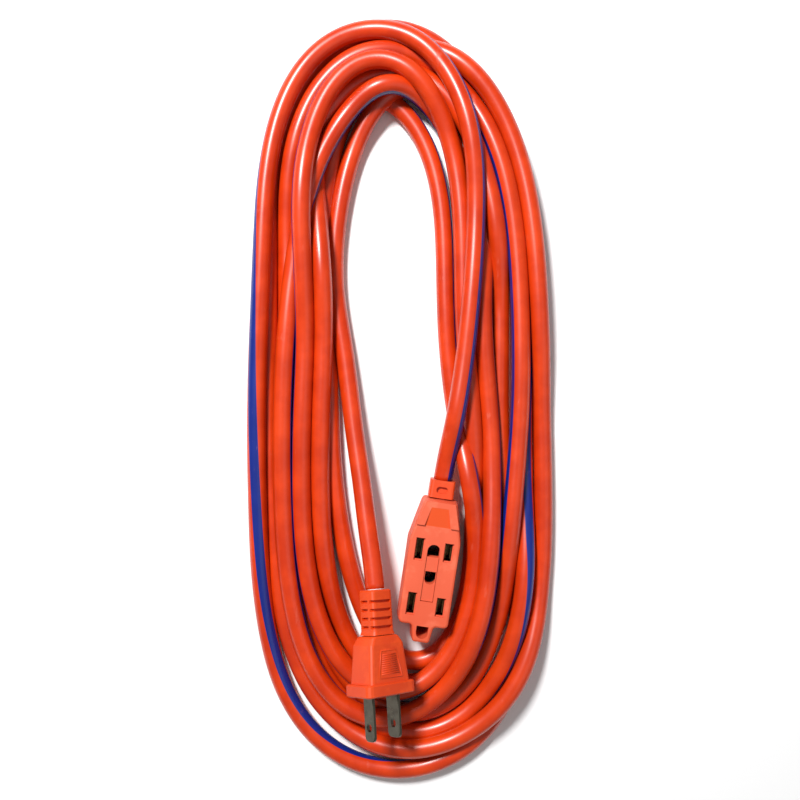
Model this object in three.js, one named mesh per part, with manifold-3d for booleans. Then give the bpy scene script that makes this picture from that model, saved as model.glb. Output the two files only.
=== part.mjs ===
// Extension cord: a flat three-way outlet block, a polarised two-blade plug and the cord between
// them, wound into a long oval hank. Millimetres, +Z up. The outlet block lies flat with its long
// axis on Y, its cord end towards +Y, and the origin is under the middle of the block.

import * as THREE from 'three';
import { mergeVertices } from 'three/addons/utils/BufferGeometryUtils.js';
import Module from 'manifold-3d';

const wasm = await Module();
wasm.setup();

// ---------------------------------------------------------------- driving dimensions

const GAP = 0.3;                       // clearance between pieces that touch

// mains geometry, shared by the plug and the three outlets
const BLADE_X = 6.35;                  // blade centre to centre line
const BLADE_THICK = 1.5;
const LINE_WIDTH = 6.3;
const NEUTRAL_WIDTH = 7.9;
const OUTLET_PITCH = 11.9;             // from one row of blades to the next ground hole

// cord
const CORD_RADIUS = 4.3;
const WIRE_RADIUS = 1.15;
const WIRE_X = 1.5;                    // each wire's offset inside a strain relief
const WIRE_BORE = 3.1;

// outlet block
const BLOCK_THICK = 22;
const PARTING = BLOCK_THICK / 2;
const SIDE_DRAFT = 0.8;                // how far the faces are set in from the parting line
const EDGE_ROUND = 1.0;
const WALL = 2.4;
const MIDDLE_Y = -6.5;                 // row of the rear outlet, and the front ground hole
const UPPER_Y = MIDDLE_Y + OUTLET_PITCH;
const LOWER_Y = MIDDLE_Y - OUTLET_PITCH;
const TAB_HOLE_Y = LOWER_Y - OUTLET_PITCH;
const BODY_TOP_Y = 27.5;
const COLLAR_TOP_Y = 35.5;
const BODY_LOW_Y = -28.2;              // where the narrow tab starts
const ARCH_LOW_Y = 16;                 // raised arch around the ramp at the cord end
const ARCH_HIGH_Y = 26.6;
const ARCH_INNER_Y = 24.2;
const ARCH_RISE = 1.1;
const BAND_HALF = 4.4;                 // thicker band of each shell around the ground holes
const BAND_WALL = 4.8;

// ground holes and their sliding shutter
const GROUND_WIDTH = 5.2;
const GROUND_HEIGHT = 5.4;
const SHUTTER_TRAVEL = 3.5;
const SHUTTER_LENGTH = 19.4;
const SHUTTER_WIDTH = 5.2;
const CHANNEL_WIDTH = 5.6;
const SHUTTER_TOP = BLOCK_THICK - 0.6;
const CHANNEL_FLOOR = BLOCK_THICK - 2.3;
const SHUTTER_LIP_TOP = BLOCK_THICK - 1.1;
const SHUTTER_BASE_WIDTH = 6.6;

// plug, in its own frame: face at y = 0, cord end towards +Y, wide faces towards +Z and -Z
const FLANGE = { halfX: 12.6, halfZ: 8.75, thick: 5, edge: 0.5, corner: 2.4 };
const PLUG_BODY_END = 24;
const PLUG_END = 43;
const BLADE_LENGTH = 18;
const BLADE_HOLE_RADIUS = 1.7;
const BLADE_HOLE_FROM_TIP = 5.6;
const PLUG_PLACE = { x: -13.8, y: -55.9, z: 31.5, turn: 12.4, pitch: 12, roll: 40 };

// hank
const HANK_HEIGHT = 16;

// ---------------------------------------------------------------- solids and cuts

function solid(geometry) {
  const bare = geometry.clone();
  bare.deleteAttribute('normal');
  bare.deleteAttribute('uv');
  const merged = mergeVertices(bare, 1e-4);
  return new wasm.Manifold(new wasm.Mesh({
    numProp: 3,
    vertProperties: new Float32Array(merged.attributes.position.array),
    triVerts: new Uint32Array(merged.index.array),
  }));
}

function geometryOf(manifold) {
  const mesh = manifold.getMesh();
  const geometry = new THREE.BufferGeometry();
  geometry.setAttribute('position', new THREE.BufferAttribute(mesh.vertProperties, 3));
  geometry.setIndex(new THREE.BufferAttribute(mesh.triVerts, 1));
  geometry.computeVertexNormals();
  return geometry;
}

const join = (first, ...rest) => rest.reduce((sum, next) => sum.add(next), first);
const cut = (body, ...tools) => tools.reduce((left, tool) => left.subtract(tool), body);

// a box from its two extreme corners
function block([x0, y0, z0], [x1, y1, z1]) {
  const geometry = new THREE.BoxGeometry(x1 - x0, y1 - y0, z1 - z0);
  geometry.translate((x0 + x1) / 2, (y0 + y1) / 2, (z0 + z1) / 2);
  return solid(geometry);
}

// a plain prism of an XY shape between two heights
function prism(shape, z0, z1, curveSegments = 8) {
  const geometry = new THREE.ExtrudeGeometry(shape, { depth: z1 - z0, bevelEnabled: false, curveSegments });
  geometry.translate(0, 0, z0);
  return solid(geometry);
}

// a round bar along Y
function barY(radius, y0, y1, x = 0, z = 0, sides = 20) {
  const geometry = new THREE.CylinderGeometry(radius, radius, y1 - y0, sides);
  geometry.translate(x, (y0 + y1) / 2, z);
  return solid(geometry);
}

// corners of an outline, each [x, y, radius], turned into points with rounded corners
function roundedOutline(corners, steps = 4) {
  const points = [];
  corners.forEach(([x, y, radius], i) => {
    const here = new THREE.Vector2(x, y);
    const [px, py] = corners[(i + corners.length - 1) % corners.length];
    const [nx, ny] = corners[(i + 1) % corners.length];
    const back = new THREE.Vector2(px, py).sub(here).normalize();
    const ahead = new THREE.Vector2(nx, ny).sub(here).normalize();
    const half = back.angleTo(ahead) / 2;
    const reach = radius / Math.tan(half);
    const start = here.clone().addScaledVector(back, reach);
    const end = here.clone().addScaledVector(ahead, reach);
    const centre = here.clone().addScaledVector(back.add(ahead).normalize(), radius / Math.sin(half));
    const sweep = Math.PI - 2 * half;
    const turn = start.clone().sub(centre).cross(end.clone().sub(centre)) > 0 ? 1 : -1;
    for (let k = 0; k <= steps; k += 1) {
      points.push(start.clone().rotateAround(centre, turn * sweep * (k / steps)));
    }
  });
  return points;
}

// the same outline moved in by a small distance
function inset(points, distance) {
  return points.map((point, i) => {
    const before = points[(i + points.length - 1) % points.length];
    const after = points[(i + 1) % points.length];
    const a = point.clone().sub(before).normalize();
    const b = after.clone().sub(point).normalize();
    const normalA = new THREE.Vector2(-a.y, a.x);
    const normalB = new THREE.Vector2(-b.y, b.x);
    const miter = normalA.add(normalB).divideScalar(1 + a.dot(b));
    return point.clone().addScaledVector(miter, distance);
  });
}

// a closed skin through rings of equal length, with flat ends
function loft(rings) {
  const count = rings[0].length;
  const positions = rings.flat().flatMap((p) => [p.x, p.y, p.z]);
  const index = [];
  for (let r = 0; r + 1 < rings.length; r += 1) {
    for (let i = 0; i < count; i += 1) {
      const j = (i + 1) % count;
      const [a, b] = [r * count + i, r * count + j];
      index.push(a, b, b + count, a, b + count, a + count);
    }
  }
  const flat = rings[0].map((p) => new THREE.Vector2(p.x, p.y));
  const capPlane = rings[0].every((p) => Math.abs(p.z - rings[0][0].z) < 1e-6)
    ? flat : rings[0].map((p) => new THREE.Vector2(p.x, -p.z));
  const last = (rings.length - 1) * count;
  for (const [a, b, c] of THREE.ShapeUtils.triangulateShape(capPlane, [])) {
    index.push(c, b, a, last + a, last + b, last + c);
  }
  const geometry = new THREE.BufferGeometry();
  geometry.setAttribute('position', new THREE.Float32BufferAttribute(positions, 3));
  geometry.setIndex(index);
  return geometry;
}

// an outline that stands between heights, set in by a distance at each: levels of [z, inset]
function tapered(points, levels) {
  return solid(loft(levels.map(([z, distance]) =>
    inset(points, distance).map((p) => new THREE.Vector3(p.x, p.y, z)))));
}

// rounded rectangles along Y, each [y, halfX, halfZ, cornerRadius]
function barrel(sections, cornerSteps = 3) {
  return solid(loft(sections.map(([y, halfX, halfZ, radius]) => {
    const ring = roundedOutline(
      [[halfX, halfZ, radius], [-halfX, halfZ, radius], [-halfX, -halfZ, radius], [halfX, -halfZ, radius]],
      cornerSteps);
    return ring.map((p) => new THREE.Vector3(p.x, y, -p.y));
  })));
}

// a D-shaped opening centred on y: its round end points to +Y or -Y
function groundShape(y, roundEnd, width = GROUND_WIDTH, height = GROUND_HEIGHT) {
  const radius = width / 2;
  const flat = y - roundEnd * height / 2;
  const centre = flat + roundEnd * (height - radius);
  const shape = new THREE.Shape();
  shape.moveTo(-radius, flat);
  shape.lineTo(-radius, centre);
  shape.absarc(0, centre, radius, Math.PI, 0, roundEnd > 0);
  shape.lineTo(radius, flat);
  shape.closePath();
  return shape;
}

// a solid rod along points, with an even number of sides
function rod(points, radius, steps, sides = 10) {
  const section = new THREE.Shape();
  for (let i = 0; i < sides; i += 1) {
    const angle = (i * 2 * Math.PI) / sides;
    const [x, y] = [radius * Math.cos(angle), radius * Math.sin(angle)];
    if (i === 0) section.moveTo(x, y); else section.lineTo(x, y);
  }
  section.closePath();
  const path = new THREE.CatmullRomCurve3(points.map((p) => new THREE.Vector3(...p)), false, 'centripetal');
  return new THREE.ExtrudeGeometry(section, { steps, bevelEnabled: false, extrudePath: path });
}

// a short open tube along Y, closed on itself
function crimpRing(inner, outer, length) {
  const profile = [
    new THREE.Vector2(inner, -length / 2), new THREE.Vector2(outer, -length / 2),
    new THREE.Vector2(outer, length / 2), new THREE.Vector2(inner, length / 2),
    new THREE.Vector2(inner, -length / 2),
  ];
  return new THREE.LatheGeometry(profile, 16);
}

// ---------------------------------------------------------------- finishes

const FINISH = {
  housing: { color: 0xf2603c, roughness: 0.5, metalness: 0 },
  relief: { color: 0xee4f22, roughness: 0.5, metalness: 0 },
  plugMould: { color: 0xf0520f, roughness: 0.5, metalness: 0 },
  jacket: { color: 0xe8430e, roughness: 0.35, metalness: 0 },
  insulator: { color: 0x2b2723, roughness: 0.7, metalness: 0 },
  brass: { color: 0xc9a24b, roughness: 0.35, metalness: 1 },
  nickel: { color: 0x8d8f86, roughness: 0.32, metalness: 1 },
  crimp: { color: 0xb9b4a6, roughness: 0.4, metalness: 1 },
  lineWire: { color: 0x1d1d1f, roughness: 0.5, metalness: 0 },
  neutralWire: { color: 0xe9e6df, roughness: 0.5, metalness: 0 },
};

function piece(name, shape, finish) {
  const geometry = shape.isBufferGeometry ? shape : geometryOf(shape);
  const mesh = new THREE.Mesh(geometry, new THREE.MeshStandardMaterial(FINISH[finish]));
  mesh.name = name;
  return mesh;
}

// ---------------------------------------------------------------- outlet block

// right half of the outline from the tab round to the cord end, mirrored for the left half
function blockOutline() {
  const right = [
    [4.3, -35.5, 2], [5.5, BODY_LOW_Y, 0.8], [11.7, BODY_LOW_Y, 2.8],
    [11.9, 9.5, 6], [7.9, BODY_TOP_Y, 2.2],
  ];
  const left = right.map(([x, y, radius]) => [-x, y, radius]).reverse();
  return roundedOutline([...right, ...left]);
}

// both shells of the block before they are parted and hollowed
function blockBlank() {
  const levels = [
    [0, SIDE_DRAFT + EDGE_ROUND], [0.3 * EDGE_ROUND, SIDE_DRAFT + 0.3 * EDGE_ROUND],
    [EDGE_ROUND, SIDE_DRAFT], [PARTING, 0], [BLOCK_THICK - EDGE_ROUND, SIDE_DRAFT],
    [BLOCK_THICK - 0.3 * EDGE_ROUND, SIDE_DRAFT + 0.3 * EDGE_ROUND],
    [BLOCK_THICK, SIDE_DRAFT + EDGE_ROUND],
  ];
  return tapered(blockOutline(), levels);
}

function blockCavity() {
  const wide = [[9.4, -25], [9.4, 9], [6.1, 25.1], [-6.1, 25.1], [-9.4, 9], [-9.4, -25]]
    .map(([x, y]) => new THREE.Vector2(x, y));
  const full = prism(new THREE.Shape(wide), WALL, BLOCK_THICK - WALL);
  const bandTop = 13;
  const band = [-1, 1].map((side) => {
    const [z0, z1] = side < 0 ? [0, BAND_WALL] : [BLOCK_THICK - BAND_WALL, BLOCK_THICK];
    return block([-BAND_HALF, -26, z0], [BAND_HALF, bandTop, z1]);
  });
  return join(cut(full, ...band), barY(4.2, 24, BODY_TOP_Y + 2, 0, PARTING));
}

// the mouth and slot for one blade, from the outer face towards the cavity
function bladeSlot(x, y, width, face) {
  const outward = face === 'front' ? 1 : -1;
  const surface = face === 'front' ? BLOCK_THICK : 0;
  const mouthHalf = (width + 1.9) / 2;
  const slotHalf = (width + 1.1) / 2;
  const mouthX = 1.95;
  const slotX = 1.55;
  const mouthDepth = 1.2;
  const span = (...depths) => depths.map((depth) => surface - outward * depth).sort((a, b) => a - b);
  const [m0, m1] = span(-1, mouthDepth);
  const [s0, s1] = span(0.5, WALL + 1);
  return join(
    block([x - mouthX, y - mouthHalf, m0], [x + mouthX, y + mouthHalf, m1]),
    block([x - slotX, y - slotHalf, s0], [x + slotX, y + slotHalf, s1]));
}

function outletSlots(y, face) {
  return join(bladeSlot(-BLADE_X, y, NEUTRAL_WIDTH, face), bladeSlot(BLADE_X, y, LINE_WIDTH, face));
}

const throughHoles = () => join(
  prism(groundShape(UPPER_Y, 1), -1, BLOCK_THICK + 1),
  prism(groundShape(MIDDLE_Y, -1), -1, BLOCK_THICK + 1),
  prism(groundShape(TAB_HOLE_Y, -1), -1, BLOCK_THICK + 1));

const windowTop = UPPER_Y + GROUND_HEIGHT / 2;
const shutterTopEnd = windowTop - GROUND_HEIGHT;
const shutterBottomEnd = shutterTopEnd - SHUTTER_LENGTH;

// the stepped channel that the shutter runs in, wide below its lips
function shutterChannel() {
  const upper = new THREE.Shape();
  const half = CHANNEL_WIDTH / 2;
  upper.moveTo(-half, shutterBottomEnd - GAP / 2);
  upper.lineTo(half, shutterBottomEnd - GAP / 2);
  upper.lineTo(half, windowTop - half);
  upper.absarc(0, windowTop - half, half, 0, Math.PI, false);
  upper.closePath();
  const lower = block(
    [-3.5, shutterBottomEnd - GAP, CHANNEL_FLOOR],
    [3.5, shutterTopEnd + SHUTTER_TRAVEL + GAP, SHUTTER_LIP_TOP]);
  return join(prism(upper, CHANNEL_FLOOR, BLOCK_THICK + 1), lower);
}

// raised arch around the cord end
function shoulderArch() {
  const right = [[3.7, ARCH_INNER_Y], [5.7, ARCH_LOW_Y], [9.3, ARCH_LOW_Y], [6.4, ARCH_HIGH_Y]];
  const left = right.map(([x, y]) => [-x, y]).reverse();
  const arch = new THREE.Shape([...right, ...left].map(([x, y]) => new THREE.Vector2(x, y)));
  return prism(arch, BLOCK_THICK - 1, BLOCK_THICK + ARCH_RISE);
}

// the ramp inside the arch, level with the face at its foot and with the arch at its head
function shoulderRamp() {
  const base = BLOCK_THICK - 1;
  const head = BLOCK_THICK + ARCH_RISE;
  const side = new THREE.Shape([
    [ARCH_LOW_Y, base], [ARCH_INNER_Y + 0.2, base],
    [ARCH_INNER_Y + 0.2, head], [ARCH_LOW_Y, BLOCK_THICK + 0.02],
  ].map(([y, z]) => new THREE.Vector2(y, z)));
  const geometry = new THREE.ExtrudeGeometry(side, { depth: 12, bevelEnabled: false });
  geometry.rotateY(Math.PI / 2).rotateX(Math.PI / 2);
  geometry.translate(-6, 0, 0);
  const outline = new THREE.Shape([
    [-5.8, ARCH_LOW_Y], [5.8, ARCH_LOW_Y], [3.8, ARCH_INNER_Y + 0.1], [-3.8, ARCH_INNER_Y + 0.1],
  ].map(([x, y]) => new THREE.Vector2(x, y)));
  return solid(geometry).intersect(prism(outline, base - 1, head + 1));
}

function frontShell() {
  const half = blockBlank().intersect(block([-20, -40, PARTING + GAP / 2], [20, 40, BLOCK_THICK + 1]));
  const raised = join(half, shoulderArch(), shoulderRamp());
  return cut(raised, blockCavity(), throughHoles(), shutterChannel(),
    outletSlots(UPPER_Y, 'front'), outletSlots(LOWER_Y, 'front'));
}

function backShell() {
  const half = blockBlank().intersect(block([-20, -40, -1], [20, 40, PARTING - GAP / 2]));
  return cut(half, blockCavity(), throughHoles(), outletSlots(MIDDLE_Y, 'back'));
}

function contactCarrier() {
  const halfX = BAND_HALF - 0.45;
  const body = block([-halfX, -24.5, BAND_WALL + GAP], [halfX, 11.5, BLOCK_THICK - BAND_WALL - GAP]);
  return cut(body,
    prism(groundShape(UPPER_Y, 1, 5.6, 5.8), 0, BLOCK_THICK),
    prism(groundShape(MIDDLE_Y, -1, 5.6, 5.8), 0, BLOCK_THICK));
}

// one bus bar on its side of the block, with a two-leaf clip for each outlet
function contactStrip(side, width) {
  const bus = [8.1, 8.8];
  const innerLeaf = [4.9, 5.4];
  const outerLeaf = [7.2, 7.7];
  const halfY = width / 2 - 0.4;
  const leafTop = BLOCK_THICK - WALL - 0.6;
  const parts = [block([bus[0], LOWER_Y - 3.6, 8.6], [bus[1], 11.2, 13.4])];
  for (const [y, toFront] of [[UPPER_Y, true], [LOWER_Y, true], [MIDDLE_Y, false]]) {
    const [base0, base1] = toFront ? [10.2, 10.9] : [11.1, 11.8];
    const [leaf0, leaf1] = toFront ? [base0, leafTop] : [BLOCK_THICK - leafTop, base1];
    parts.push(block([innerLeaf[0], y - halfY, base0], [bus[1], y + halfY, base1]));
    parts.push(block([innerLeaf[0], y - halfY, leaf0], [innerLeaf[1], y + halfY, leaf1]));
    parts.push(block([outerLeaf[0], y - halfY, leaf0], [outerLeaf[1], y + halfY, leaf1]));
  }
  parts.push(block([4.4, 9.6, 10.6], [bus[1], 11.2, 11.4]));
  parts.push(block([4.4, 9.6, 10.6], [6.2, 14.1, 11.4]));
  const right = join(...parts);
  return side > 0 ? right : right.mirror([1, 0, 0]);
}

function groundShutter() {
  const half = SHUTTER_WIDTH / 2;
  const baseHalf = SHUTTER_BASE_WIDTH / 2;
  const strip = join(
    block([-half, shutterBottomEnd + 0.1, CHANNEL_FLOOR + GAP], [half, shutterTopEnd - 0.1, SHUTTER_TOP]),
    block([-baseHalf, shutterBottomEnd + 0.1, CHANNEL_FLOOR + GAP],
      [baseHalf, shutterTopEnd - 0.1, SHUTTER_LIP_TOP - GAP]));
  return cut(strip, prism(groundShape(MIDDLE_Y, -1, 4.6, 5.6), 15, 25));
}

// collar on the cord, neck through the end wall and a flange held behind it
function outletStrainRelief() {
  const centred = (shape) => shape.translate([0, 0, PARTING]);
  const collar = centred(barrel([[BODY_TOP_Y + GAP, 5.6, 5.5, 1.6], [COLLAR_TOP_Y, 5.5, 5.4, 1.6]]));
  const neck = barY(3.9, 24, BODY_TOP_Y + 1, 0, PARTING);
  const flange = centred(barrel([[23.2, 5.2, 5.2, 1.2], [24.8, 5.2, 5.2, 1.2]]));
  const bore = barY(WIRE_BORE, 20, COLLAR_TOP_Y + 1, 0, PARTING);
  const windowShape = roundedOutline(
    [[2.5, 29.9, 1.3], [2.5, 32.8, 1.3], [-2.5, 32.8, 1.3], [-2.5, 29.9, 1.3]], 3);
  const pocket = prism(new THREE.Shape(windowShape), PARTING + 3.7, PARTING + 7);
  return cut(join(collar, neck, flange), bore, pocket);
}

const OUTLET_CRIMP_X = 4.3;
const OUTLET_CRIMP_Y = 15.9;
const CRIMP = { inner: 1.5, outer: 2.05, length: 3 };

function outletWire(side) {
  return rod([
    [side * OUTLET_CRIMP_X, OUTLET_CRIMP_Y - 1.2, PARTING], [side * OUTLET_CRIMP_X, 17.8, PARTING],
    [side * 2.9, 20, PARTING], [side * WIRE_X, 22.6, PARTING], [side * WIRE_X, 30, PARTING],
    [side * WIRE_X, COLLAR_TOP_Y - 0.5, PARTING],
  ], WIRE_RADIUS, 12, 8);
}

function outletBlock() {
  const group = new THREE.Group();
  group.add(piece('outlet_front_shell', frontShell(), 'housing'));
  group.add(piece('outlet_back_shell', backShell(), 'housing'));
  group.add(piece('contact_carrier', contactCarrier(), 'insulator'));
  group.add(piece('neutral_contact_strip', contactStrip(-1, NEUTRAL_WIDTH), 'brass'));
  group.add(piece('line_contact_strip', contactStrip(1, LINE_WIDTH), 'brass'));
  group.add(piece('ground_shutter', groundShutter(), 'housing'));
  group.add(piece('outlet_strain_relief', outletStrainRelief(), 'relief'));
  for (const [name, side] of [['neutral', -1], ['line', 1]]) {
    const crimp = piece(`outlet_${name}_crimp`, crimpRing(CRIMP.inner, CRIMP.outer, CRIMP.length), 'crimp');
    crimp.position.set(side * OUTLET_CRIMP_X, OUTLET_CRIMP_Y, PARTING);
    group.add(crimp);
    group.add(piece(`outlet_${name}_wire`, outletWire(side), `${name}Wire`));
  }
  return group;
}

// ---------------------------------------------------------------- plug

const BRIDGE = { halfX: 9.2, halfZ: 5, depth: 8.4 };
const PLUG_CRIMP = { x: 5.8, y: 12.7 };
const TAIL_END = 10.8;
const RELIEF = { halfX: 5.5, halfZ: 5.1, slots: 4, pitch: 3.55, firstSlot: 38.2 };
const RELIEF_SLOT = { width: 1.25, depth: 1.5, spine: 1.3, wrap: 2.4, shoulder: 2 };

function plugBody() {
  const { halfX, halfZ, thick, edge, corner } = FLANGE;
  const outer = barrel([
    [0, halfX - edge, halfZ - edge, corner - edge], [edge, halfX, halfZ, corner],
    [thick - edge, halfX, halfZ, corner], [thick, halfX - edge, halfZ - edge, corner - edge],
    [thick + 0.1, 10.4, 7.6, 1.6], [20.5, 8.9, 6.8, 1.6],
    [23.4, 7.2, 6.1, 1.6], [PLUG_BODY_END, 6.4, 5.6, 1.4],
  ]);
  const pocket = block([-BRIDGE.halfX - GAP, -1, -BRIDGE.halfZ - GAP],
    [BRIDGE.halfX + GAP, BRIDGE.depth + GAP, BRIDGE.halfZ + GAP]);
  const funnel = [[-8.2, 5], [8.2, 5], [8.2, 15.4], [3.4, 20.4], [-3.4, 20.4], [-8.2, 15.4]];
  const chamber = prism(new THREE.Shape(funnel.map(([x, y]) => new THREE.Vector2(x, y))), -4.4, 4.4);
  return cut(outer, pocket, chamber, barY(3.4, 19, PLUG_BODY_END + 1));
}

function plugBridge() {
  const body = barrel([[0, BRIDGE.halfX, BRIDGE.halfZ, 1], [BRIDGE.depth, BRIDGE.halfX, BRIDGE.halfZ, 1]]);
  const slots = [[-BLADE_X, LINE_WIDTH], [BLADE_X, NEUTRAL_WIDTH]].map(([x, width]) => {
    const halfX = BLADE_THICK / 2 + GAP;
    const halfZ = width / 2 + GAP;
    return block([x - halfX, -1, -halfZ], [x + halfX, BRIDGE.depth + 1, halfZ]);
  });
  return cut(body, ...slots);
}

// flat blade standing in the YZ plane, with rounded tip corners and a hole near the tip
function plugBlade(x, width) {
  const half = width / 2;
  const edge = 0.25;
  const outline = roundedOutline([
    [-BLADE_LENGTH, half, 1.9], [-BLADE_LENGTH, -half, 1.9], [TAIL_END, -half, 0.6], [TAIL_END, half, 0.6],
  ]);
  const thick = BLADE_THICK / 2;
  const body = tapered(outline, [[-thick, edge], [edge - thick, 0], [thick - edge, 0], [thick, edge]]);
  const circle = new THREE.Shape();
  circle.absarc(BLADE_HOLE_FROM_TIP - BLADE_LENGTH, 0, BLADE_HOLE_RADIUS, 0, 2 * Math.PI, false);
  return cut(body, prism(circle, -2, 2)).rotate([90, 0, 90]).translate([x, 0, 0]);
}

function plugStrainRelief() {
  const start = PLUG_BODY_END + GAP;
  const { halfX, halfZ, slots, pitch, firstSlot } = RELIEF;
  const { width, depth, spine, wrap, shoulder } = RELIEF_SLOT;
  const outer = barrel([
    [start, halfX + 0.5, halfZ + 0.4, 1.6], [start + 1.6, halfX, halfZ, 1.6],
    [PLUG_END - 0.6, halfX, halfZ, 1.6], [PLUG_END, halfX - 0.5, halfZ - 0.5, 1.4],
  ]);
  const grooves = [];
  for (let i = 0; i < slots; i += 1) {
    const y0 = firstSlot - i * pitch - width / 2;
    const y1 = y0 + width;
    const oneSide = join(
      block([-halfX - 1, y0, halfZ - depth], [halfX - spine, y1, halfZ + 1]),
      block([-halfX - 1, y0, halfZ - wrap], [depth - halfX, y1, halfZ + 1]),
      block([-halfX - 1, y0, shoulder - halfZ], [depth - halfX, y1, halfZ - wrap - spine]));
    grooves.push(oneSide, oneSide.rotate([0, 180, 0]));
  }
  return cut(outer, barY(WIRE_BORE, start - 1, PLUG_END + 1), ...grooves);
}

function plugWire(side) {
  const { x, y } = PLUG_CRIMP;
  return rod([
    [side * x, y - 1.2, 0], [side * x, y + 1.9, 0], [side * 3.6, 17.8, 0], [side * 1.7, 20.6, 0],
    [side * WIRE_X, 23.4, 0], [side * WIRE_X, 34, 0], [side * WIRE_X, PLUG_END - 0.5, 0],
  ], WIRE_RADIUS, 16, 8);
}

function plug() {
  const group = new THREE.Group();
  group.add(piece('plug_body', plugBody(), 'plugMould'));
  group.add(piece('plug_bridge', plugBridge(), 'plugMould'));
  group.add(piece('plug_strain_relief', plugStrainRelief(), 'plugMould'));
  group.add(piece('plug_line_blade', plugBlade(-BLADE_X, LINE_WIDTH), 'nickel'));
  group.add(piece('plug_neutral_blade', plugBlade(BLADE_X, NEUTRAL_WIDTH), 'nickel'));
  for (const [name, side] of [['line', -1], ['neutral', 1]]) {
    const crimp = piece(`plug_${name}_crimp`, crimpRing(CRIMP.inner, CRIMP.outer, CRIMP.length), 'crimp');
    crimp.position.set(side * PLUG_CRIMP.x, PLUG_CRIMP.y, 0);
    group.add(crimp);
    group.add(piece(`plug_${name}_wire`, plugWire(side), `${name}Wire`));
  }
  const radians = THREE.MathUtils.degToRad;
  const { x, y, z, turn, pitch, roll } = PLUG_PLACE;
  group.rotation.set(-radians(pitch), radians(roll), radians(turn), 'ZXY');
  group.position.set(x, y, z);
  return group;
}

// ---------------------------------------------------------------- cord

// outer and inner edge of the hank, counterclockwise
const HANK_OUTER = [
  [-60, 233], [-88, 209], [-101, 165], [-97, 88], [-84, 0], [-61, -69], [-34, -93], [-6, -100.5],
  [33, -78], [52, -22], [47, 55], [29, 148], [3, 203], [-31, 230],
];
const HANK_INNER = [
  [-49, 193], [-60, 168], [-67, 138], [-67, 106], [-54, 31], [-36, -20], [-20, -45], [-1, -51],
  [13, -40], [15.5, -26], [16, 4], [13.5, 30], [10, 52], [6, 72], [-6, 94], [-17, 124],
  [-26, 158], [-36, 183],
];

function hank() {
  const ring = (points, count) => new THREE.CatmullRomCurve3(
    points.map(([x, y]) => new THREE.Vector3(x, y, 0)), true, 'centripetal',
  ).getPoints(count).slice(0, -1).map((p) => new THREE.Vector2(p.x, p.y));
  const shape = new THREE.Shape(ring(HANK_OUTER, 56));
  shape.holes.push(new THREE.Path(ring(HANK_INNER, 54)));
  return new THREE.ExtrudeGeometry(shape, { depth: HANK_HEIGHT, bevelEnabled: false });
}

// from the block's collar up onto the hank's right-hand side
const OUTLET_LEAD = [
  [0, COLLAR_TOP_Y + GAP, PARTING], [0, 41.5, PARTING + 0.4], [0.3, 50, 14.4], [0.7, 60, 18.2],
  [1, 70, 20.8], [1.2, 84, 21], [0.7, 106, 21], [-0.8, 128, 21], [-4, 150, 21],
];

// from the hank's inner left-hand side up to the plug's strain relief
const plugEnd = () => {
  const turn = THREE.MathUtils.degToRad(PLUG_PLACE.turn);
  const pitch = THREE.MathUtils.degToRad(PLUG_PLACE.pitch);
  const along = (distance) => [
    PLUG_PLACE.x - Math.sin(turn) * Math.cos(pitch) * distance,
    PLUG_PLACE.y + Math.cos(turn) * Math.cos(pitch) * distance,
    PLUG_PLACE.z - Math.sin(pitch) * distance];
  return [along(PLUG_END + 8), along(PLUG_END + GAP)];
};
const PLUG_LEAD = [
  [-61.2, 118, CORD_RADIUS + 0.3], [-58.8, 106, 4.7], [-55.5, 96, 5], [-49.7, 77, 6], [-42.3, 51, 8.9],
  [-35.8, 30, 12.7], [-30.8, 13, 16.4], [-27.2, 1, 19.1], ...plugEnd(),
];

// ---------------------------------------------------------------- assembly

const group = new THREE.Group();
group.add(outletBlock());
group.add(plug());
group.add(piece('cord_hank', hank(), 'jacket'));
group.add(piece('cord_outlet_lead', rod(OUTLET_LEAD, CORD_RADIUS, 16), 'jacket'));
group.add(piece('cord_plug_lead', rod(PLUG_LEAD, CORD_RADIUS, 18), 'jacket'));

export default group;
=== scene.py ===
"""Extension cord: the cord hank, and the looks of every piece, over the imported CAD."""

import math

import bpy
import numpy as np
from mathutils import Matrix, Vector


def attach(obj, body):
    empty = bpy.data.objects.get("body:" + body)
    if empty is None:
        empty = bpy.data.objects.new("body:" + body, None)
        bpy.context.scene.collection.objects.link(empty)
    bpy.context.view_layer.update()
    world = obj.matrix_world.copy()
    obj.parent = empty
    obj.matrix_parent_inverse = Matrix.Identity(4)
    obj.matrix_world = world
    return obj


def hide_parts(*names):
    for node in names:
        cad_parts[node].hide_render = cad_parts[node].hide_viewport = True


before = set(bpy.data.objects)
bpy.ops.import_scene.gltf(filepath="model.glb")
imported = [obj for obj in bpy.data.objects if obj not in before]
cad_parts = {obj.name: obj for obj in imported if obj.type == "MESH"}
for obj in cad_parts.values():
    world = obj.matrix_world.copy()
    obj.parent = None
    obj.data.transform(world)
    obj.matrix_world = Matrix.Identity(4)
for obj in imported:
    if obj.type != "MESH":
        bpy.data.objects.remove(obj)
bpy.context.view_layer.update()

MM = 0.001
BODY = "body"


def mm(*values):
    return Vector(values) * MM


# ---------------------------------------------------------------- camera

HANK_TURN = math.atan2(0.148, 0.989)  # the hank lies turned from the outlet block by this
EYE = mm(-24.2, 67.9, 385)


def make_camera():
    data = bpy.data.cameras.new("camera")
    data.lens = 37.75
    data.sensor_width = 36
    data.clip_start = 0.01
    camera = bpy.data.objects.new("camera", data)
    camera.matrix_world = Matrix.Translation(EYE) @ Matrix.Rotation(HANK_TURN, 4, "Z")
    bpy.context.scene.collection.objects.link(camera)
    bpy.context.scene.camera = camera
    return camera


make_camera()

# ---------------------------------------------------------------- cord

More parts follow.
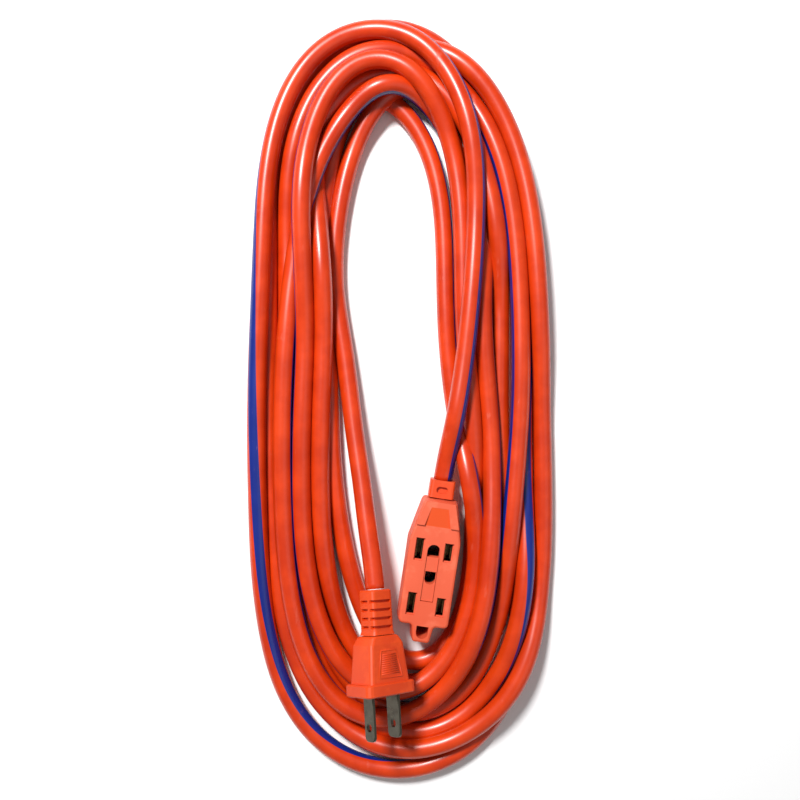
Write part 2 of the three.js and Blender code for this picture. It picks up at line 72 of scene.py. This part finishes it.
CORD = 8.4  # diameter
RADIUS = CORD / 2
STEP = 4.0  # distance between the points that the cord is worked out at
FLOOR, SECOND, THIRD = 4.2, 12.0, 20.0  # centre heights of the hank's layers
APART = int(3 * CORD / STEP)  # points nearer than this along the cord are one stretch

# the cord's first stretch, out of the outlet block and up onto the hank
OUTLET_LEAD = [
    (0, 35.8, 11), (0, 41.5, 11.4), (0.3, 50, 14.4), (0.7, 60, 18.2),
    (1, 70, 20.8), (1.2, 84, 21), (0.7, 106, 21), (-0.8, 128, 21), (-4, 150, 21),
]

# its last stretch, off the hank and into the plug
PLUG_LEAD = [
    (-61.2, 118, 4.6), (-58.8, 106, 4.7), (-55.5, 96, 5), (-49.7, 77, 6), (-42.3, 51, 8.9),
    (-35.8, 30, 12.7), (-30.8, 13, 16.4), (-27.2, 1, 19.1), (-24.51, -7.18, 20.9), (-22.9, -14.5, 22.5),
]

# stations round the hank: distance along its axis, and the bearing to look out along
CROWN, TOP, BOTTOM = 117, 111.1, -106.7
STATIONS = [
    (BOTTOM, 0), (-62.2, 0), (-33.3, 0), (-4.4, 0), (46.7, 0), (88.9, 0), (TOP, 0),
    (CROWN, 45), (CROWN, 90), (CROWN, 135), (TOP, 180),
    (71.1, 180), (31.1, 180), (-13.3, 180), (-57.8, 180), (BOTTOM, 180),
    (BOTTOM, 225), (BOTTOM, 270), (BOTTOM, 315),
]
TOP_SHIFT = -4.4  # the top bend's centre is this far to the left of the axis

# each turn: how far out it lies at each station, its layer there, and at some stations which way
# its stripe faces, 0 for up and 90 for straight out of the hank
TURNS = [
    ([None] * 6 + [36, 36.5, 50.5, 51, 52, 60.5, 63.5, 64, 63.5, 58.5, 60, 62, 57.5], "......2222221111000",
     {6: 74, 7: 80, 8: 95, 9: 100, 10: 90, 11: 64, 12: 40, 13: 15, 14: -7, 15: -32, 16: -60, 18: -150}),
    ([54, 50, 47, 45.5, 44, 42, 42, 36, 34, 30, 31, 38, 36, 35, 24.5, 12, 14, 18, 21], "0011111111000000000",
     {0: -180}),
    ([25, 35.5, 32.5, 32, 29, 26, 26, 26.5, 38, 36.5, 34.5, 42, 43, 45, 43, 32.5, 27.5, 28.5, 22.5],
     "0011112222221111111", {0: -180, 6: -230, 8: -265}),
    ([25.5, 33.5, 33, 27.5, 20.5, 17, 18, 19.5, 24.5, 27, 26, 35.5, 38.5, 40, 39.5, 37, 35, 37.5, 40.5],
     "1111100000000000000", {0: -276, 7: -276, 10: -200, 18: -120}),
    ([41, 49.5, 51.5, 54, 52.5, 47, 44.5, 35.5, 41, 40.5, 42.5, 51.5, 51.5, 52.5, 52, 41, 42.5, 44.5, 49.5],
     "1111111111100000000", {0: -78, 8: -90, 10: -150, 16: -250, 18: -275}),
    ([48.5, 54.5, 55.5, 55, 58, 53.5, 50.5, 46, 51.5, 50.5, 49.5, 58.5, 59, 58.5, 54.5, 45, 46, 50, 53],
     "1100000000000000011", {0: -298, 1: -336, 2: -345, 4: -330, 8: -180}),
    ([58.5, 65, 64.5, 64.5, 62, 56, 55, 46, 46.5, 35, 33, 37.5, 36.5, 36.5, 33.5, 24.5, 23, 25, 29],
     "1111111100011111000", {0: -180}),
    ([32, 38.5, 36.5, 34, 32.5, 31, 31, 30, 28.5, 25.5, 28, 41, 48, 51.5, 50.5, 42, 42, 37, 30.5],
     "0000000111111111222", {0: -180, 6: -112, 8: -94, 11: -97, 15: -100, 18: -180}),
    ([32, 38.5, 38.5, 38, 36, 37, 37, 35, 25.5, 21, 21, 32] + [None] * 7, "221110000000.......",
     {0: -275, 7: -240, 9: -180}),
]


def station_point(station, out, height):
    """Where a strand passes a station, in the row frame."""
    along, bearing = STATIONS[station]
    angle = math.radians(bearing)
    shift = TOP_SHIFT if along >= TOP else 0
    across = shift + out * math.cos(angle)
    up = along + out * math.sin(angle)
    c, s = math.cos(HANK_TURN), math.sin(HANK_TURN)
    return (EYE.x / MM + across * c - up * s, EYE.y / MM + across * s + up * c, height)


def plan_route():
    """The chosen points of the whole cord in order, and the stripe's bearing at each."""
    points = list(OUTLET_LEAD)
    stripe = list(np.linspace(58, 70, len(points)))
    for outs, layers, bearings in TURNS:
        for station, (out, layer) in enumerate(zip(outs, layers)):
            if out is None:
                continue
            points.append(station_point(station, out, (FLOOR, SECOND, THIRD)[int(layer)]))
            stripe.append(np.interp(station, list(bearings), list(bearings.values())))
    points += PLUG_LEAD
    stripe += [-180] * len(PLUG_LEAD)
    return np.array(points, float), np.array(stripe, float)


CURVE_CUTS = 12  # straight pieces worked out between two chosen points


def resample(points, values, step):
    """A smooth curve through the points, and the values along it, at even steps."""
    ends = [2 * points[0] - points[1]], [2 * points[-1] - points[-2]]
    padded = np.concatenate([ends[0], points, ends[1]])
    knots = np.concatenate([[0], np.cumsum(np.sqrt(np.linalg.norm(np.diff(padded, axis=0), axis=1)))])
    curve, along = [], []
    for i in range(1, len(padded) - 2):
        t0, t1, t2, t3 = knots[i - 1:i + 3]
        p0, p1, p2, p3 = padded[i - 1:i + 3]
        for t in np.linspace(t1, t2, CURVE_CUTS, endpoint=False):
            a = ((t1 - t) * p0 + (t - t0) * p1) / (t1 - t0)
            b = ((t2 - t) * p1 + (t - t1) * p2) / (t2 - t1)
            c = ((t3 - t) * p2 + (t - t2) * p3) / (t3 - t2)
            d = ((t2 - t) * a + (t - t0) * b) / (t2 - t0)
            e = ((t3 - t) * b + (t - t1) * c) / (t3 - t1)
            curve.append(((t2 - t) * d + (t - t1) * e) / (t2 - t1))
            along.append(values[i - 1] + (values[i] - values[i - 1]) * (t - t1) / (t2 - t1))
    curve.append(points[-1])
    along.append(values[-1])
    curve = np.array(curve)
    distance = np.concatenate([[0], np.cumsum(np.linalg.norm(np.diff(curve, axis=0), axis=1))])
    even = np.linspace(0, distance[-1], int(round(distance[-1] / step)) + 1)
    line = np.column_stack([np.interp(even, distance, curve[:, axis]) for axis in range(3)])
    return line, np.interp(even, distance, along)


def stiffen(line, weight, reach):
    """The smoothest line near the given one: changes of bend within reach are ironed out."""
    count = len(line)
    change = (-1.0, 3.0, -3.0, 1.0)
    bands = np.zeros((4, count))
    bands[0] = weight
    for a in range(4):
        for b in range(a, 4):
            bands[b - a, a:a + count - 3] += (reach / STEP) ** 6 * change[a] * change[b]
    rows = np.asarray(line * weight[:, None]).tolist()
    width = len(rows[0])
    bands = bands.T.tolist()
    for i in range(count):
        head = bands[i]
        for d in range(1, min(4, count - i)):
            share = head[d] / head[0]
            for e in range(d, 4):
                bands[i + d][e - d] -= share * head[e]
            for axis in range(width):
                rows[i + d][axis] -= share * rows[i][axis]
    for i in reversed(range(count)):
        for axis in range(width):
            rest = sum(bands[i][d] * rows[i + d][axis] for d in range(1, min(4, count - i)))
            rows[i][axis] = (rows[i][axis] - rest) / bands[i][0]
    return np.array(rows)


def touching(line):
    """Pairs of points on different stretches that lie less than a diameter apart in plan."""
    near = np.abs(line[:, None, 0] - line[None, :, 0]) < CORD
    near &= np.abs(line[:, None, 1] - line[None, :, 1]) < CORD
    first, second = np.nonzero(np.triu(near, APART))
    return first, second


HELD_START, HELD_END = 30, 130  # lengths at the outlet block and at the plug that stay put
HELD_WEIGHT = 4000.0
PLAN_REACH, SIDE_REACH, LAST_REACH = 18, 12, 9  # how far each smoothing irons out a change of bend
CROSSING_RISE = 3.5  # strands planned this far apart in height cross over each other
CROSSING_WIDTH = 4.5  # and so do strands this close in plan
SINK = 0.15  # how far the cord drops in one round
LIFT_SHARE, PUSH_SHARE = 0.22, 0.3  # part of an overlap that each of two strands gives way by
LIFT_DEEPEST = 2
MOVE_MOST = 0.8
EVENING = 0.5
BESIDE_RISE = 4  # strands nearer in height than this lie side by side
BLOCK_Y = [-37, -36, 10, 28, 36, 37]  # the outlet block's half width along its length
BLOCK_HALF = [0, 11.9, 11.9, 7.9, 5.6, 0]
BLOCK_TOP = 24
BLOCK_GAP = 0.4


def lift_apart(line, free, first, second, over, need, stacked):
    """One round of letting the cord sink and lifting each crossing strand off the one under it."""
    line[free, 2] -= SINK
    short = np.clip(need - (line[second, 2] - line[first, 2]) * over, 0, LIFT_DEEPEST) * stacked
    lift = np.zeros(len(line))
    np.add.at(lift, second, LIFT_SHARE * short * over)
    np.add.at(lift, first, -LIFT_SHARE * short * over)
    line[free, 2] += np.clip(lift, -MOVE_MOST, MOVE_MOST)[free]
    even = line[:, 2].copy()
    even[2:-2] = (4 * (line[1:-3, 2] + line[3:-1, 2]) - line[:-4, 2] - line[4:, 2]) / 6
    line[free, 2] += EVENING * (even - line[:, 2])[free]
    line[:, 2] = np.maximum(line[:, 2], RADIUS)


def push_apart(line, free, first, second, plan, width, stacked):
    """Move strands that lie side by side away from each other, and all of them off the outlet block."""
    level = np.abs(line[second, 2] - line[first, 2]) < BESIDE_RISE
    beside = ~stacked & (width < CORD) & level
    push = (PUSH_SHARE * (CORD - width) * beside / width)[:, None] * plan
    move = np.zeros((len(line), 2))
    np.add.at(move, second, push)
    np.add.at(move, first, -push)
    line[free, :2] += np.clip(move, -MOVE_MOST, MOVE_MOST)[free]
    side = np.interp(line[:, 1], BLOCK_Y, BLOCK_HALF)
    by_block = free & (side > 0) & (line[:, 0] > 2) & (line[:, 2] < BLOCK_TOP)
    line[by_block, 0] = np.maximum(line[by_block, 0], (side + RADIUS + BLOCK_GAP)[by_block])


def settle(line, passes=14, rounds=14):
    """Let the cord down onto the floor and onto itself, close to its planned course."""
    held = np.zeros(len(line), bool)
    held[:int(HELD_START / STEP)] = True
    held[len(line) - int(HELD_END / STEP):] = True
    free = ~held
    weight = np.where(held, HELD_WEIGHT, 1.0)
    line = stiffen(line, weight, PLAN_REACH)
    layer = line[:, 2].copy()
    for _ in range(passes):
        first, second = touching(line)
        plan = line[second, :2] - line[first, :2]
        width = np.maximum(np.linalg.norm(plan, axis=1), 0.01)
        over = np.sign(layer[second] - layer[first])
        stacked = (np.abs(layer[second] - layer[first]) > CROSSING_RISE) | (width < CROSSING_WIDTH)
        need = np.sqrt(np.maximum(CORD ** 2 - width ** 2, 0))
        for _ in range(rounds):
            lift_apart(line, free, first, second, over, need, stacked)
        push_apart(line, free, first, second, plan, width, stacked)
        line[:, :2] = stiffen(line[:, :2], weight, SIDE_REACH)
    line = stiffen(line, weight, LAST_REACH)
    line[:, 2] = np.maximum(line[:, 2], RADIUS)
    return line


def clearances(line):
    """Distance of its points to the nearest other stretch: least, 5 %, 25 % and middle, for the log."""
    gaps = np.linalg.norm(line[:, None] - line[None, :], axis=2)
    rows = np.arange(len(line))
    gaps[np.abs(rows[:, None] - rows[None, :]) <= APART] = np.inf
    return np.percentile(gaps.min(axis=1), [0, 5, 25, 50])


course, stripe = plan_route()
course, stripe = resample(course, stripe, STEP)
course = settle(course)
LENGTH = float(np.linalg.norm(np.diff(course, axis=0), axis=1).sum()) * MM
print("cord length", LENGTH, "clearances", clearances(course))


def make_tube(name, line, stripe, radius, sides=16, along=2.0):
    """A round tube whose UV map runs once round it, from its stripe, and along it in metres."""
    fine, roll = resample(line, stripe, along)
    tangent = np.gradient(fine, axis=0)
    tangent /= np.linalg.norm(tangent, axis=1)[:, None]
    up = np.array([0.0, 0.0, 1.0])
    side = np.cross(tangent, up)
    side /= np.linalg.norm(side, axis=1)[:, None]
    top = np.cross(side, tangent)
    around = np.linspace(0, 2 * math.pi, sides, endpoint=False)
    turn = np.radians(roll)[:, None, None] + around[None, :, None]
    ring = fine[:, None] + radius * (np.cos(turn) * top[:, None] + np.sin(turn) * side[:, None])
    count = len(fine)
    verts = (ring.reshape(-1, 3) * MM).tolist()
    faces = []
    for i in range(count - 1):
        for j in range(sides):
            k = (j + 1) % sides
            faces.append((i * sides + j, (i + 1) * sides + j, (i + 1) * sides + k, i * sides + k))
    faces.append(tuple(range(sides)))
    faces.append(tuple(reversed(range((count - 1) * sides, count * sides))))
    mesh = bpy.data.meshes.new(name)
    mesh.from_pydata(verts, [], faces)
    layer = mesh.uv_layers.new(name="UVMap")
    values = []
    for i in range(count - 1):
        for j in range(sides):
            u0, u1 = j / sides, (j + 1) / sides
            v0, v1 = i * along * MM, (i + 1) * along * MM
            values += [u0, v0, u0, v1, u1, v1, u1, v0]
    values += [0.5, 0] * (2 * sides)
    layer.data.foreach_set("uv", values)
    mesh.shade_smooth()
    obj = bpy.data.objects.new(name, mesh)
    bpy.context.scene.collection.objects.link(obj)
    return obj, fine


cord, path = make_tube("extension_cord_lead", course, stripe, RADIUS)
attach(cord, BODY)
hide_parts("cord_hank", "cord_outlet_lead", "cord_plug_lead")

# ---------------------------------------------------------------- material helpers


class Value:
    """A node socket that can be used in an expression; each operator adds its Math node."""

    def __init__(self, sheet, socket):
        self.sheet = sheet
        self.socket = socket

    def math(self, operation, *others):
        return self.sheet.node("Math", {"operation": operation}, self, *others)["Value"]

    def __add__(self, other):
        return self.math("ADD", other)

    def __sub__(self, other):
        return self.math("SUBTRACT", other)

    def __rsub__(self, other):
        return self.sheet.node("Math", {"operation": "SUBTRACT"}, other, self)["Value"]

    def __mul__(self, other):
        return self.math("MULTIPLY", other)

    __radd__ = __add__
    __rmul__ = __mul__

    def between(self, low, high):
        """0 below low, 1 above high, smooth in between."""
        settings = {"interpolation_type": "SMOOTHSTEP"}
        return self.sheet.node("MapRange", settings, self, low, high)["Result"]


class Sheet:
    """The node sheet of one material."""

    def __init__(self, name):
        self.material = bpy.data.materials.new(name)
        self.material.use_nodes = True
        self.tree = self.material.node_tree
        self.bsdf = self.tree.nodes["Principled BSDF"]
        self.place = self.node("TexCoord", {})["Object"]

    def node(self, kind, settings, *values, **named):
        made = self.tree.nodes.new("ShaderNode" + kind)
        for key, setting in settings.items():
            setattr(made, key, setting)
        for socket, value in zip(made.inputs, values):
            self.put(socket, value)
        for key, value in named.items():
            self.put(made.inputs[key.replace("_", " ")], value)
        return {out.name: Value(self, out) for out in reversed(made.outputs) if out.enabled}

    def put(self, socket, value):
        if isinstance(value, Value):
            self.tree.links.new(value.socket, socket)
        else:
            socket.default_value = value

    def noise(self, scale, detail=3, where=None, stretch=None, roughness=0.55):
        where = where or self.place
        if stretch:
            where = self.node("VectorMath", {"operation": "MULTIPLY"}, where, stretch)["Vector"]
        made = self.node("TexNoise", {}, Vector=where, Scale=scale, Detail=detail, Roughness=roughness)
        return made["Fac"]

    def mix(self, factor, first, second):
        made = self.tree.nodes.new("ShaderNodeMix")
        made.data_type = "RGBA"
        for index, value in ((0, factor), (6, first), (7, second)):
            if isinstance(value, tuple):
                value = (*value, 1)
            self.put(made.inputs[index], value)
        return Value(self, made.outputs[2])

    def bump(self, height, strength, distance, under=None):
        named = {"Height": height, "Strength": strength, "Distance": distance}
        if under:
            named["Normal"] = under
        return self.node("Bump", {}, **named)["Normal"]

    def finish(self, **values):
        for key, value in values.items():
            if isinstance(value, tuple):
                value = (*value, 1)
            self.put(self.bsdf.inputs[key.replace("_", " ")], value)
        return self.material


# ---------------------------------------------------------------- materials

ORANGE = (0.66, 0.044, 0.002)
ORANGE_DEEP = (0.50, 0.026, 0.001)
ORANGE_PALE = (0.74, 0.07, 0.008)
BLUE = (0.004, 0.02, 0.22)
BLUE_DEEP = (0.004, 0.014, 0.16)
STRIPE_EDGE = (0.083, 0.091)  # where the stripe fades out, in turns from its middle


def jacket_material():
    """Glossy vinyl with a stripe run into it, faint die lines along it and handling scuffs."""
    sheet = Sheet("cord_jacket")
    uv = sheet.node("UVMap", {})["UV"]
    around = sheet.node("SeparateXYZ", {}, uv)["X"]
    from_top = ((around + 0.5).math("FRACT") - 0.5).math("ABSOLUTE")
    stripe = 1 - from_top.between(*STRIPE_EDGE)
    cloudy = sheet.noise(70, 4)
    long_tone = sheet.noise(9, 2)
    vinyl = sheet.mix(cloudy.between(0.3, 0.75), ORANGE_DEEP, ORANGE)
    vinyl = sheet.mix(long_tone.between(0.45, 0.8) * 0.35, vinyl, ORANGE_PALE)
    blue = sheet.mix(cloudy, BLUE_DEEP, BLUE)
    colour = sheet.mix(stripe, vinyl, blue)
    scuff = sheet.noise(220, 5, None, (1.0, 0.35, 1.0), 0.7).between(0.62, 0.72)
    colour = sheet.mix(scuff * 0.08, colour, (0.8, 0.3, 0.2))
    die_lines = sheet.noise(1.0, 2, uv, (95.0, 3.0, 0.0))
    grain = sheet.noise(1400, 2)
    height = die_lines * 0.6 + grain * 0.25 + scuff * -0.15
    normal = sheet.bump(height, 0.35, 0.00012)
    roughness = cloudy * 0.12 + scuff * 0.18 + 0.27
    return sheet.finish(
        Base_Color=colour, Roughness=roughness, Normal=normal, Coat_Weight=0.12, Coat_Roughness=0.2)


RAMP_FOOT, RAMP_HEAD = 16 * MM, 24.2 * MM  # along the block
RAMP_HALF = 5.7 * MM  # half its width at the foot
RAMP_NARROWING = 0.241
RAMP_FADE = 0.1 * MM


def ramp_mask(sheet):
    """1 on the smooth ramp inside the arch at the outlet block's cord end."""
    place = sheet.node("SeparateXYZ", {}, sheet.place)
    half = RAMP_HALF - (place["Y"] - RAMP_FOOT) * RAMP_NARROWING
    inside = (half - place["X"].math("ABSOLUTE")).between(0, RAMP_FADE)
    above_foot = place["Y"].between(RAMP_FOOT - 2 * RAMP_FADE, RAMP_FOOT)
    past_head = place["Y"].between(RAMP_HEAD - RAMP_FADE, RAMP_HEAD)
    return inside * above_foot * (1 - past_head)


def moulding_material(name, base, deep, pale, grain_depth, roughness, ramp=None):
    """Moulded plastic with a fine spark-eroded grain, flow marks and rubbed patches."""
    sheet = Sheet(name)
    patches = sheet.noise(120, 5, None, None, 0.62)
    flow = sheet.noise(38, 3, None, (1.0, 0.4, 1.0))
    colour = sheet.mix(flow.between(0.3, 0.7), deep, base)
    colour = sheet.mix(patches.between(0.52, 0.68) * 0.5, colour, pale)
    specks = sheet.noise(900, 2).between(0.70, 0.76)
    colour = sheet.mix(specks * 0.35, colour, deep)
    grain = sheet.noise(2600, 2)
    coarse = sheet.noise(700, 3)
    height = grain * 0.5 + coarse * 0.5
    # Painted sheen: the grained face's paler pink base colours stand for its sheen, and the smooth ramp gets
    # the deeper orange of the plastic without that sheen; its grain is also flattened.
    if ramp:
        mask = ramp_mask(sheet)
        colour = sheet.mix(mask, colour, ramp)
        height = height * (1 - mask * 0.85)
    normal = sheet.bump(height, 0.5, grain_depth)
    rough = patches * 0.16 + specks * 0.1 + (roughness - 0.08)
    return sheet.finish(Base_Color=colour, Roughness=rough, Normal=normal)


def metal_material(name, base, dark, roughness, grain=(1.0, 18.0, 1.0), tarnish_and_shade=0.5):
    """Rolled strip: fine grain along the strip, darker clouds and a few scratches; the clouds are tarnish on
    the blades and crimps, and painted shade on the brass.
    """
    sheet = Sheet(name)
    rolled = sheet.noise(420, 3, None, grain)
    clouds = sheet.noise(260, 4).between(0.4, 0.75)
    scratches = sheet.noise(600, 2, None, (0.12, 1.6, 1.0)).between(0.66, 0.69)
    colour = sheet.mix(clouds * tarnish_and_shade, base, dark)
    colour = sheet.mix(scratches * 0.4, colour, tuple(min(1, v * 1.7) for v in base))
    normal = sheet.bump(rolled * 0.7 + scratches * 0.3, 0.35, 0.00006)
    rough = rolled * 0.14 + clouds * 0.12 + (roughness - 0.06)
    return sheet.finish(Base_Color=colour, Roughness=rough, Metallic=1.0, Normal=normal)


def insulation_material(name, base, dark):
    """Soft wire insulation or dull fibre, slightly dusty."""
    sheet = Sheet(name)
    dust = sheet.noise(300, 4).between(0.45, 0.7)
    grain = sheet.noise(1500, 3)
    colour = sheet.mix(dust, dark, base)
    normal = sheet.bump(grain, 0.3, 0.00008)
    return sheet.finish(Base_Color=colour, Roughness=dust * 0.2 + 0.45, Normal=normal)


# The housing's pink base colours carry a painted sheen of its grained face; the ramp colour is the plain
# plastic's orange.
HOUSING = moulding_material(
    "housing", (0.74, 0.11, 0.045), (0.66, 0.085, 0.03), (0.8, 0.17, 0.085),
    grain_depth=0.00009, roughness=0.56, ramp=(0.72, 0.07, 0.006))
RELIEF = moulding_material(
    "relief", (0.7, 0.06, 0.005), (0.6, 0.045, 0.003), (0.76, 0.09, 0.016),
    grain_depth=0.00006, roughness=0.45)
PLUG = moulding_material(
    "plug_mould", (0.7, 0.058, 0.002), (0.6, 0.042, 0.001), (0.76, 0.08, 0.006),
    grain_depth=0.00008, roughness=0.5)
# Painted shade: the contact brass is made nearly black, in its base colour and its clouds, to stand for the
# shade deep in the outlet's slots.
BRASS = metal_material("contact_brass", (0.2, 0.13, 0.055), (0.035, 0.022, 0.01), 0.26, tarnish_and_shade=0.95)
NICKEL = metal_material("blade_nickel", (0.14, 0.13, 0.1), (0.07, 0.065, 0.05), 0.34)
CRIMP = metal_material("crimp", (0.66, 0.64, 0.58), (0.35, 0.33, 0.28), 0.38)
FIBRE = insulation_material("insulator", (0.035, 0.028, 0.024), (0.012, 0.010, 0.009))
BLACK_WIRE = insulation_material("line_wire", (0.030, 0.030, 0.032), (0.012, 0.012, 0.013))
WHITE_WIRE = insulation_material("neutral_wire", (0.82, 0.80, 0.75), (0.62, 0.59, 0.53))

FINISHES = {
    HOUSING: ["outlet_front_shell", "outlet_back_shell", "ground_shutter"],
    RELIEF: ["outlet_strain_relief"],
    PLUG: ["plug_body", "plug_bridge", "plug_strain_relief"],
    BRASS: ["neutral_contact_strip", "line_contact_strip"],
    NICKEL: ["plug_line_blade", "plug_neutral_blade"],
    CRIMP: ["outlet_neutral_crimp", "outlet_line_crimp", "plug_line_crimp", "plug_neutral_crimp"],
    FIBRE: ["contact_carrier"],
    BLACK_WIRE: ["outlet_line_wire", "plug_line_wire"],
    WHITE_WIRE: ["outlet_neutral_wire", "plug_neutral_wire"],
}
for material, names in FINISHES.items():
    for name in names:
        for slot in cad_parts[name].material_slots:
            slot.material = material

cord.data.materials.append(jacket_material())

# ---------------------------------------------------------------- grip panels of the plug

PLUG_PLACE = (
    Matrix.Translation(mm(-13.8, -55.9, 31.5)) @ Matrix.Rotation(math.radians(12.4), 4, "Z")
    @ Matrix.Rotation(math.radians(-12), 4, "X") @ Matrix.Rotation(math.radians(40), 4, "Y"))
PANEL_CENTRE = mm(0, 12.6, 7.21)
PANEL_SLOPE = math.atan2(0.8, 15.4)  # the plug's wide faces draw in towards the cord
PANEL_SIZES = {
    "Ribs": ("NodeSocketInt", 10),
    "Rib Pitch": ("NodeSocketFloat", 0.85 * MM),
    "Rib Length": ("NodeSocketFloat", 9.3 * MM),
    "Rib Growth": ("NodeSocketFloat", -0.026),
    "Rib Radius": ("NodeSocketFloat", 0.27 * MM),
    "First Rib": ("NodeSocketVector", tuple(mm(0, -3.9, 0))),
    "Rim Height": ("NodeSocketFloat", 11 * MM),
    "Rim Low": ("NodeSocketFloat", 12.3 * MM),
    "Rim High": ("NodeSocketFloat", 8 * MM),
    "Rim Radius": ("NodeSocketFloat", 0.32 * MM),
}


def panel_tree(material):
    """A raised trapezoid rim round a ladder of fine ribs that shorten towards its narrow end."""
    tree = bpy.data.node_groups.new("grip_panel", "GeometryNodeTree")
    for name, (kind, _) in PANEL_SIZES.items():
        tree.interface.new_socket(name, in_out="INPUT", socket_type=kind)
    tree.interface.new_socket("Geometry", in_out="OUTPUT", socket_type="NodeSocketGeometry")
    given = tree.nodes.new("NodeGroupInput").outputs

    def add(kind, settings, **named):
        made = tree.nodes.new(kind)
        for key, setting in settings.items():
            setattr(made, key, setting)
        for key, value in named.items():
            socket = made.inputs[key.replace("_", " ")]
            if isinstance(value, bpy.types.NodeSocket):
                tree.links.new(value, socket)
            else:
                socket.default_value = value
        return made.outputs

    step = add("ShaderNodeCombineXYZ", {}, Y=given["Rib Pitch"])["Vector"]
    line = add("GeometryNodeMeshLine", {"mode": "OFFSET"}, Count=given["Ribs"],
               Start_Location=given["First Rib"], Offset=step)["Mesh"]
    rod = add("GeometryNodeMeshCylinder", {}, Vertices=10, Radius=given["Rib Radius"],
              Depth=given["Rib Length"])["Mesh"]
    rib = add("GeometryNodeTransform", {}, Geometry=rod, Rotation=(0, math.pi / 2, 0))["Geometry"]
    left = tree.nodes.new("ShaderNodeMath")  # each rib is a little shorter than the last
    left.operation = "MULTIPLY_ADD"
    tree.links.new(add("GeometryNodeInputIndex", {})["Index"], left.inputs[0])
    tree.links.new(given["Rib Growth"], left.inputs[1])
    left.inputs[2].default_value = 1
    scale = add("ShaderNodeCombineXYZ", {}, X=left.outputs[0], Y=1, Z=1)["Vector"]
    ribs = add("GeometryNodeInstanceOnPoints", {}, Points=line, Instance=rib, Scale=scale)["Instances"]
    frame_line = add("GeometryNodeCurvePrimitiveQuadrilateral", {"mode": "TRAPEZOID"}, Offset=0.0,
                     Height=given["Rim Height"], Bottom_Width=given["Rim Low"],
                     Top_Width=given["Rim High"])["Curve"]
    bead = add("GeometryNodeCurvePrimitiveCircle", {"mode": "RADIUS"}, Resolution=10,
               Radius=given["Rim Radius"])["Curve"]
    rim = add("GeometryNodeCurveToMesh", {}, Curve=frame_line, Profile_Curve=bead)["Mesh"]
    joined = tree.nodes.new("GeometryNodeJoinGeometry")
    tree.links.new(rim, joined.inputs[0])
    tree.links.new(ribs, joined.inputs[0])
    real = add("GeometryNodeRealizeInstances", {}, Geometry=joined.outputs[0])["Geometry"]
    smooth = add("GeometryNodeSetShadeSmooth", {}, Geometry=real)["Geometry"]
    done = add("GeometryNodeSetMaterial", {}, Geometry=smooth, Material=material)["Geometry"]
    tree.links.new(done, tree.nodes.new("NodeGroupOutput").inputs["Geometry"])
    return tree


def make_panel(name, tree, flip):
    """One panel worked out by the tree and set on a wide face of the plug."""
    seed = bpy.data.objects.new(name + "_seed", bpy.data.meshes.new(name + "_seed"))
    bpy.context.scene.collection.objects.link(seed)
    modifier = seed.modifiers.new("grip_panel", "NODES")
    modifier.node_group = tree
    for item in tree.interface.items_tree:
        if item.in_out == "INPUT":
            modifier[item.identifier] = PANEL_SIZES[item.name][1]
    seed.update_tag()
    graph = bpy.context.evaluated_depsgraph_get()
    graph.update()
    mesh = bpy.data.meshes.new_from_object(seed.evaluated_get(graph))
    bpy.data.objects.remove(seed)
    mesh.transform(
        PLUG_PLACE @ Matrix.Rotation(flip, 4, "Y") @ Matrix.Translation(PANEL_CENTRE)
        @ Matrix.Rotation(-PANEL_SLOPE, 4, "X"))
    mesh.name = name
    panel = bpy.data.objects.new(name, mesh)
    bpy.context.scene.collection.objects.link(panel)
    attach(panel, BODY)
    print(name, len(mesh.polygons))


grip_tree = panel_tree(PLUG)
make_panel("plug_grip_front", grip_tree, 0)
make_panel("plug_grip_back", grip_tree, math.pi)

# ---------------------------------------------------------------- floor and light


def floor_material():
    sheet = Sheet("floor")
    return sheet.finish(Base_Color=(0.92, 0.92, 0.92), Roughness=0.8)


def make_stage():
    mesh = bpy.data.meshes.new("floor")
    corners = [(-3, -3), (3, -3), (3, 3), (-3, 3)]
    mesh.from_pydata([(x, y, -0.1 * MM) for x, y in corners], [], [(0, 1, 2, 3)])
    floor = bpy.data.objects.new("floor", mesh)
    mesh.materials.append(floor_material())
    bpy.context.scene.collection.objects.link(floor)


def make_light(name, place, target, size, power):
    data = bpy.data.lights.new(name, "AREA")
    data.shape = "DISK"
    data.size = size
    data.energy = power
    light = bpy.data.objects.new(name, data)
    aim = (Vector(target) - Vector(place)).to_track_quat("-Z", "Y")
    light.matrix_world = Matrix.Translation(Vector(place)) @ aim.to_matrix().to_4x4()
    bpy.context.scene.collection.objects.link(light)


make_stage()
make_light("key", (-0.38, 0.5, 0.8), (-0.02, 0.06, 0), 0.2, 14)
make_light("fill", (0.6, -0.1, 0.9), (0, 0.06, 0), 0.9, 1.2)
world = bpy.data.worlds.new("world")
world.use_nodes = True
world.node_tree.nodes["Background"].inputs["Color"].default_value = (1, 1, 1, 1)
world.node_tree.nodes["Background"].inputs["Strength"].default_value = 0.22
bpy.context.scene.world = world
bpy.context.scene.view_settings.view_transform = "Standard"
